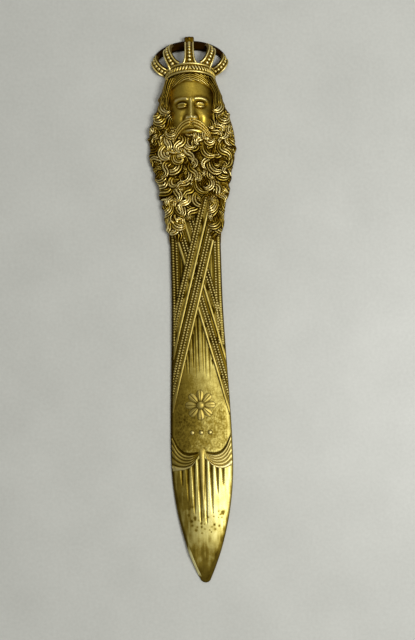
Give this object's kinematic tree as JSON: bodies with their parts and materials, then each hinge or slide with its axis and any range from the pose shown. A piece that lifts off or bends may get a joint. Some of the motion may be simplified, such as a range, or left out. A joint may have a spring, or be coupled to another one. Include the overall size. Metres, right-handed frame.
{
  "type": "letter opener",
  "caption": "Brass letter opener lying on its flat back: a leaf-shaped blade struck as a robe, with a bearded head and an open arched crown as its grip.",
  "frame": {"origin": "middle of the bounding box in plan, on the plane of the flat back", "axes": "+Y from the blade's tip to the crown, +Z out of the back towards the relief, +X across the blade"},
  "size_m": [0.0344, 0.22, 0.0096],
  "materials": {
    "blade_brass": "worn polish",
    "robe_brass": "aged, dark in the recesses",
    "relief_brass": "aged, dark in the recesses",
    "crown_brass": "aged, dark in the recesses"
  },
  "bodies": {
    "root": {"beard": "relief_brass", "blade": "blade_brass", "border_left": "robe_brass", "border_right": "robe_brass", "centre_rib": "robe_brass", "crown_arch_centre": "crown_brass", "crown_arch_far_left": "crown_brass", "crown_arch_far_right": "crown_brass", "crown_arch_left": "crown_brass", "crown_arch_right": "crown_brass", "crown_circlet": "crown_brass", "crown_finial": "crown_brass", "crown_hoop": "crown_brass", "face": "relief_brass", "hair_left": "relief_brass", "hair_right": "relief_brass", "head_plate": "relief_brass", "lapel_back_inner": "robe_brass", "lapel_back_outer": "robe_brass", "lapel_front_inner": "robe_brass", "lapel_front_outer": "robe_brass", "moustache": "relief_brass", "pellets": "robe_brass", "rosette": "robe_brass", "swag_left": "robe_brass", "swag_right": "robe_brass", "tuft_left": "relief_brass", "tuft_right": "relief_brass"}
  },
  "joints": []
}
